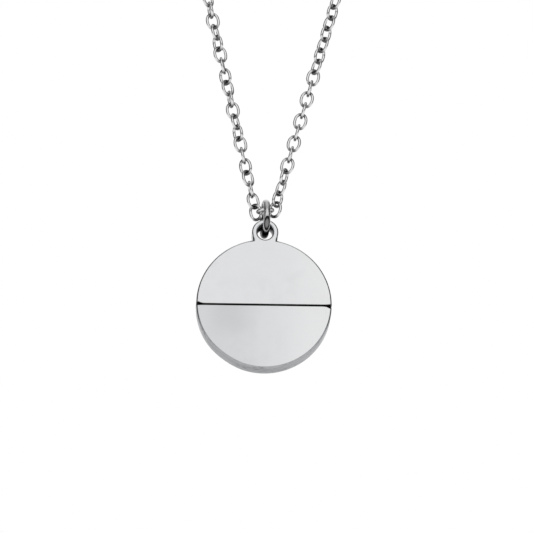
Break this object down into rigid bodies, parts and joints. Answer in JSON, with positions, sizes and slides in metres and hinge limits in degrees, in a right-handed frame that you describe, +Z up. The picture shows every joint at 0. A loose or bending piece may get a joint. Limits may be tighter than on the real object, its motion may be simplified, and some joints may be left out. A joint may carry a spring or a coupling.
{
  "type": "disc pendant necklace",
  "caption": "Round steel disc pendant with a groove across its face, on a jump ring and a closed cable chain.",
  "frame": {"origin": "where the closed chain rests on the nape, on the clasp's inner side", "axes": "+Z up, +Y from the pendant towards the nape, +X to the right of someone facing the disc"},
  "size_m": [0.116, 0.1146, 0.2385],
  "materials": {
    "polished_disc_steel": "polished stainless steel with fine scratches on its rim",
    "polished_ring_steel": "bright polished round wire",
    "polished_chain_steel": "bright polished fine wire",
    "clasp_steel": "polished casting"
  },
  "bodies": {
    "chain": {"chain_left": "polished_chain_steel", "chain_right": "polished_chain_steel", "clasp": "clasp_steel"},
    "ring": {"jump_ring": "polished_ring_steel"},
    "disc": {"disc": "polished_disc_steel"}
  },
  "joints": [
    {"name": "ring_swing", "type": "hinge", "parent": "chain", "child": "ring", "pos_m": [0, -0.1095, -0.21279], "axis": [1, 0, 0], "range_deg": [-60, 60]},
    {"name": "disc_swing", "type": "hinge", "parent": "ring", "child": "disc", "pos_m": [0, -0.1095, -0.21524], "axis": [0, 1, 0], "range_deg": [-60, 60]}
  ]
}
